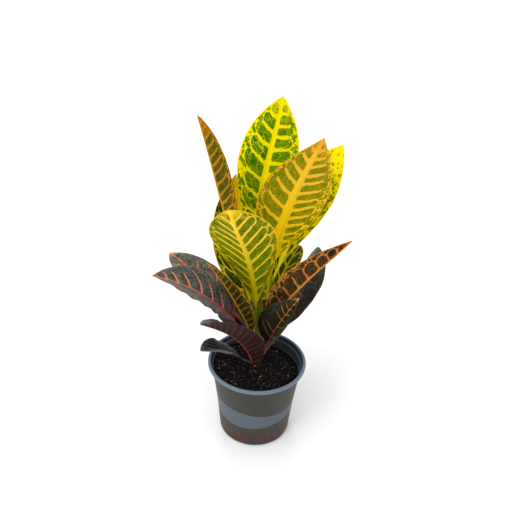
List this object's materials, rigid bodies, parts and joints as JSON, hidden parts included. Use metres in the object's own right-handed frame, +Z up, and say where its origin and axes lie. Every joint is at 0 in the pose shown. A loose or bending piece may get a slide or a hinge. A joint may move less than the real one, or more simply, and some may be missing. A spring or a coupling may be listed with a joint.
{
  "type": "potted croton plant",
  "caption": "Croton houseplant: broad upright and drooping leaves around one stem, in a round plastic nursery pot of soil.",
  "frame": {"origin": "centre of the pot's underside, on the surface that the pot stands on", "axes": "+Z up along the stem, -Y towards the plant's front, +X to the right as seen from the front"},
  "size_m": [0.2106, 0.1952, 0.4111],
  "materials": {
    "pot": "satin",
    "soil": "matte",
    "stem": "matte",
    "leaf_yellow": "satin",
    "leaf_olive": "satin",
    "leaf_dark": "satin"
  },
  "bodies": {
    "root": {"pot": "pot", "soil": "soil", "stem": "stem", "growing_tip": "leaf_yellow", "leaf_left_lowest": "leaf_dark", "leaf_front_burgundy": "leaf_dark", "leaf_back_right": "leaf_dark", "leaf_right_small": "leaf_dark", "leaf_right_dark": "leaf_dark", "leaf_left_short": "leaf_dark", "leaf_back_left": "leaf_dark", "leaf_left_long": "leaf_dark", "leaf_left_behind": "leaf_dark", "leaf_back_middle": "leaf_dark", "leaf_left_orange": "leaf_olive", "leaf_back_upper": "leaf_olive", "leaf_right_orange": "leaf_olive", "leaf_left_inner": "leaf_yellow", "leaf_front_blunt": "leaf_yellow", "leaf_right_inner": "leaf_yellow", "leaf_tall_left": "leaf_olive", "leaf_tall_far_right": "leaf_yellow", "leaf_tall_back": "leaf_yellow", "leaf_tall_right": "leaf_yellow"}
  },
  "joints": []
}
